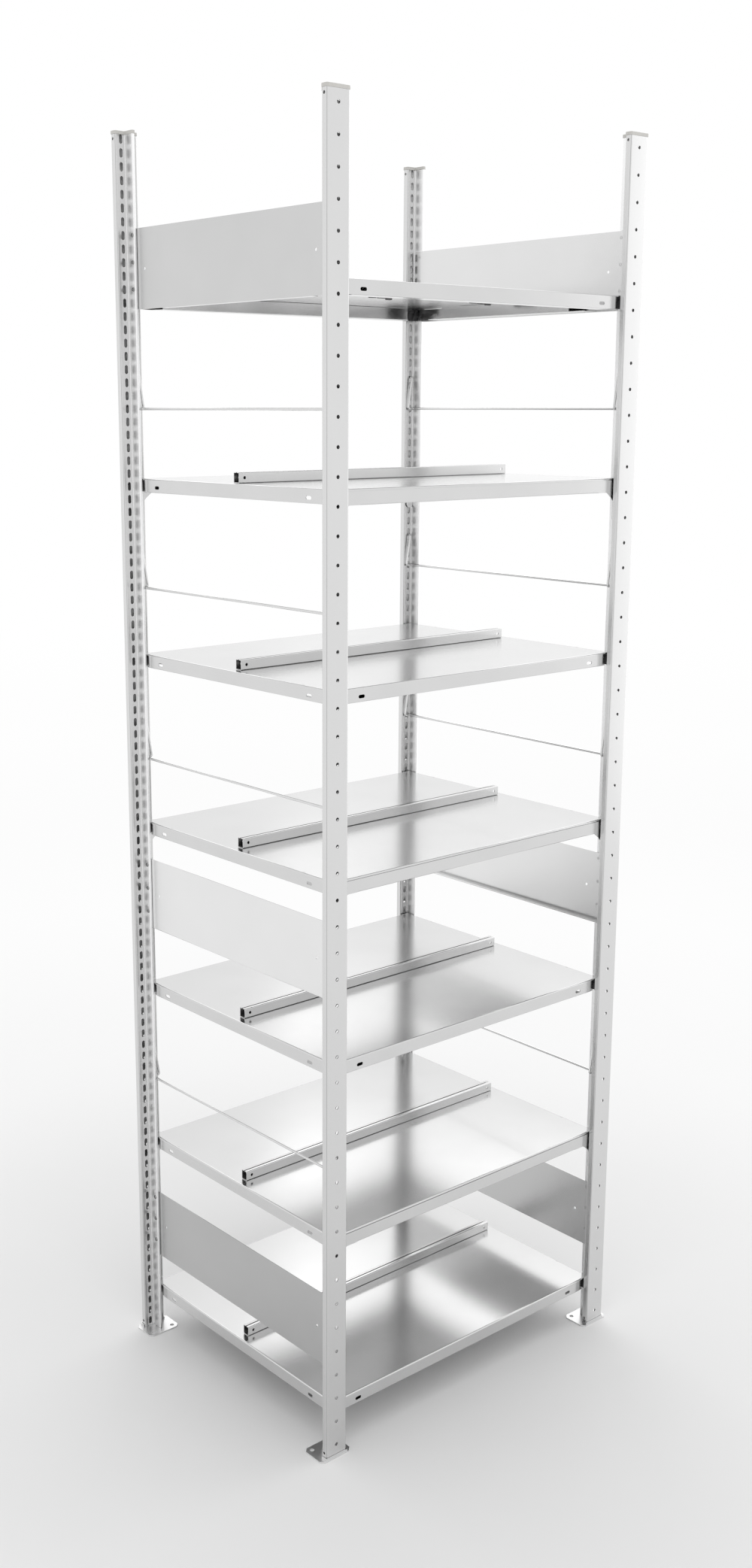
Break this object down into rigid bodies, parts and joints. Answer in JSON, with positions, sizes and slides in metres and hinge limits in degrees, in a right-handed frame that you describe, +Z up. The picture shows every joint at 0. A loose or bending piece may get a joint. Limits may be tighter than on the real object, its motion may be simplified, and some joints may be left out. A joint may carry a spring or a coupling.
{
  "type": "office shelving unit",
  "caption": "Tall open shelving unit of perforated T-section steel posts, folded sheet shelves with middle rails, side plates and side wires; each shelf lifts off its seats.",
  "frame": {"origin": "on the floor, in the middle of the unit's outline over the four foot plates", "axes": "+Z up along the posts, +X to the right along the shelves, +Y from the front to the back"},
  "size_m": [0.832, 0.642, 2.5051],
  "materials": {
    "galvanised_steel": "satin galvanised steel",
    "satin_steel_sheet": "satin galvanised sheet with soft reflections",
    "bright_steel_wire": "bright drawn wire",
    "warm_grey_plastic": "matt warm grey plastic"
  },
  "bodies": {
    "frame": {"post_front_left": "galvanised_steel", "post_front_right": "galvanised_steel", "post_back_left": "galvanised_steel", "post_back_right": "galvanised_steel", "post_cap_front_left": "warm_grey_plastic", "post_cap_front_right": "warm_grey_plastic", "post_cap_back_left": "warm_grey_plastic", "post_cap_back_right": "warm_grey_plastic", "foot_plate_front_left": "galvanised_steel", "foot_plate_front_right": "galvanised_steel", "foot_plate_back_left": "galvanised_steel", "foot_plate_back_right": "galvanised_steel", "beam_front_2": "satin_steel_sheet", "beam_back_2": "satin_steel_sheet", "beam_front_4": "satin_steel_sheet", "beam_back_4": "satin_steel_sheet", "beam_front_6": "satin_steel_sheet", "beam_back_6": "satin_steel_sheet", "side_plate_left_1": "satin_steel_sheet", "side_plate_left_2": "satin_steel_sheet", "side_plate_left_3": "satin_steel_sheet", "side_plate_right_1": "satin_steel_sheet", "side_plate_right_2": "satin_steel_sheet", "side_plate_right_3": "satin_steel_sheet", "side_wire_left_1": "bright_steel_wire", "side_wire_left_2": "bright_steel_wire", "side_wire_left_3": "bright_steel_wire", "side_wire_left_4": "bright_steel_wire", "side_wire_right_1": "bright_steel_wire", "side_wire_right_2": "bright_steel_wire", "side_wire_right_3": "bright_steel_wire", "side_wire_right_4": "bright_steel_wire"},
    "shelf_1_set": {"shelf_1": "satin_steel_sheet", "middle_rail_1": "satin_steel_sheet"},
    "shelf_2_set": {"shelf_2": "satin_steel_sheet", "middle_rail_2": "satin_steel_sheet"},
    "shelf_3_set": {"shelf_3": "satin_steel_sheet", "middle_rail_3": "satin_steel_sheet"},
    "shelf_4_set": {"shelf_4": "satin_steel_sheet", "middle_rail_4": "satin_steel_sheet"},
    "shelf_5_set": {"shelf_5": "satin_steel_sheet", "middle_rail_5": "satin_steel_sheet"},
    "shelf_6_set": {"shelf_6": "satin_steel_sheet", "middle_rail_6": "satin_steel_sheet"},
    "shelf_7_set": {"shelf_7": "satin_steel_sheet", "middle_rail_7": "satin_steel_sheet"}
  },
  "joints": [
    {"name": "shelf_1_lift", "type": "slide", "parent": "frame", "child": "shelf_1_set", "axis": [0, 0, 1], "range_m": [0, 0.025]},
    {"name": "shelf_2_lift", "type": "slide", "parent": "frame", "child": "shelf_2_set", "axis": [0, 0, 1], "range_m": [0, 0.025]},
    {"name": "shelf_3_lift", "type": "slide", "parent": "frame", "child": "shelf_3_set", "axis": [0, 0, 1], "range_m": [0, 0.025]},
    {"name": "shelf_4_lift", "type": "slide", "parent": "frame", "child": "shelf_4_set", "axis": [0, 0, 1], "range_m": [0, 0.025]},
    {"name": "shelf_5_lift", "type": "slide", "parent": "frame", "child": "shelf_5_set", "axis": [0, 0, 1], "range_m": [0, 0.025]},
    {"name": "shelf_6_lift", "type": "slide", "parent": "frame", "child": "shelf_6_set", "axis": [0, 0, 1], "range_m": [0, 0.025]},
    {"name": "shelf_7_lift", "type": "slide", "parent": "frame", "child": "shelf_7_set", "axis": [0, 0, 1], "range_m": [0, 0.025]}
  ]
}
